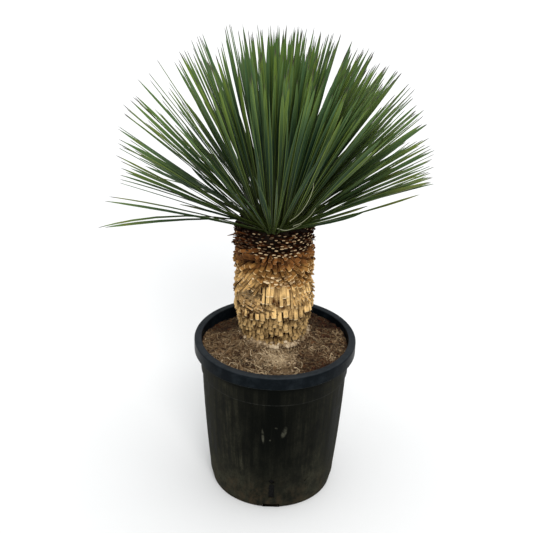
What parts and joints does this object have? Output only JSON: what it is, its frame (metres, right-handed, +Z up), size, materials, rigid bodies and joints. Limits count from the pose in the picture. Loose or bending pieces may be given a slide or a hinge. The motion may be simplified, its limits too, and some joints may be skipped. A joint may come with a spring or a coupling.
{
  "type": "beaked yucca in a nursery pot",
  "caption": "Beaked yucca with a round head of stiff pointed leaves on a scaly trunk, growing in soil in a round rimmed nursery pot with drain slots.",
  "frame": {"origin": "middle of the pot's flat underside, on the floor", "axes": "+Z up; -Y towards the front, where a drain slot faces the viewer; +X to the viewer's right"},
  "size_m": [0.7872, 0.7182, 1.1621],
  "materials": {
    "pot_plastic": "black moulded plastic, dusty and scuffed",
    "soil_mix": "dry fibrous potting soil with bark crumbs",
    "dry_leaf_stubs": "dry straw-coloured leaf bases, dark between",
    "green_leaf": "tough waxy blue-green leaf with a pale yellow edge"
  },
  "bodies": {
    "root": {"pot": "pot_plastic", "soil": "soil_mix", "trunk": "dry_leaf_stubs", "leaf_head": "green_leaf"}
  },
  "joints": []
}
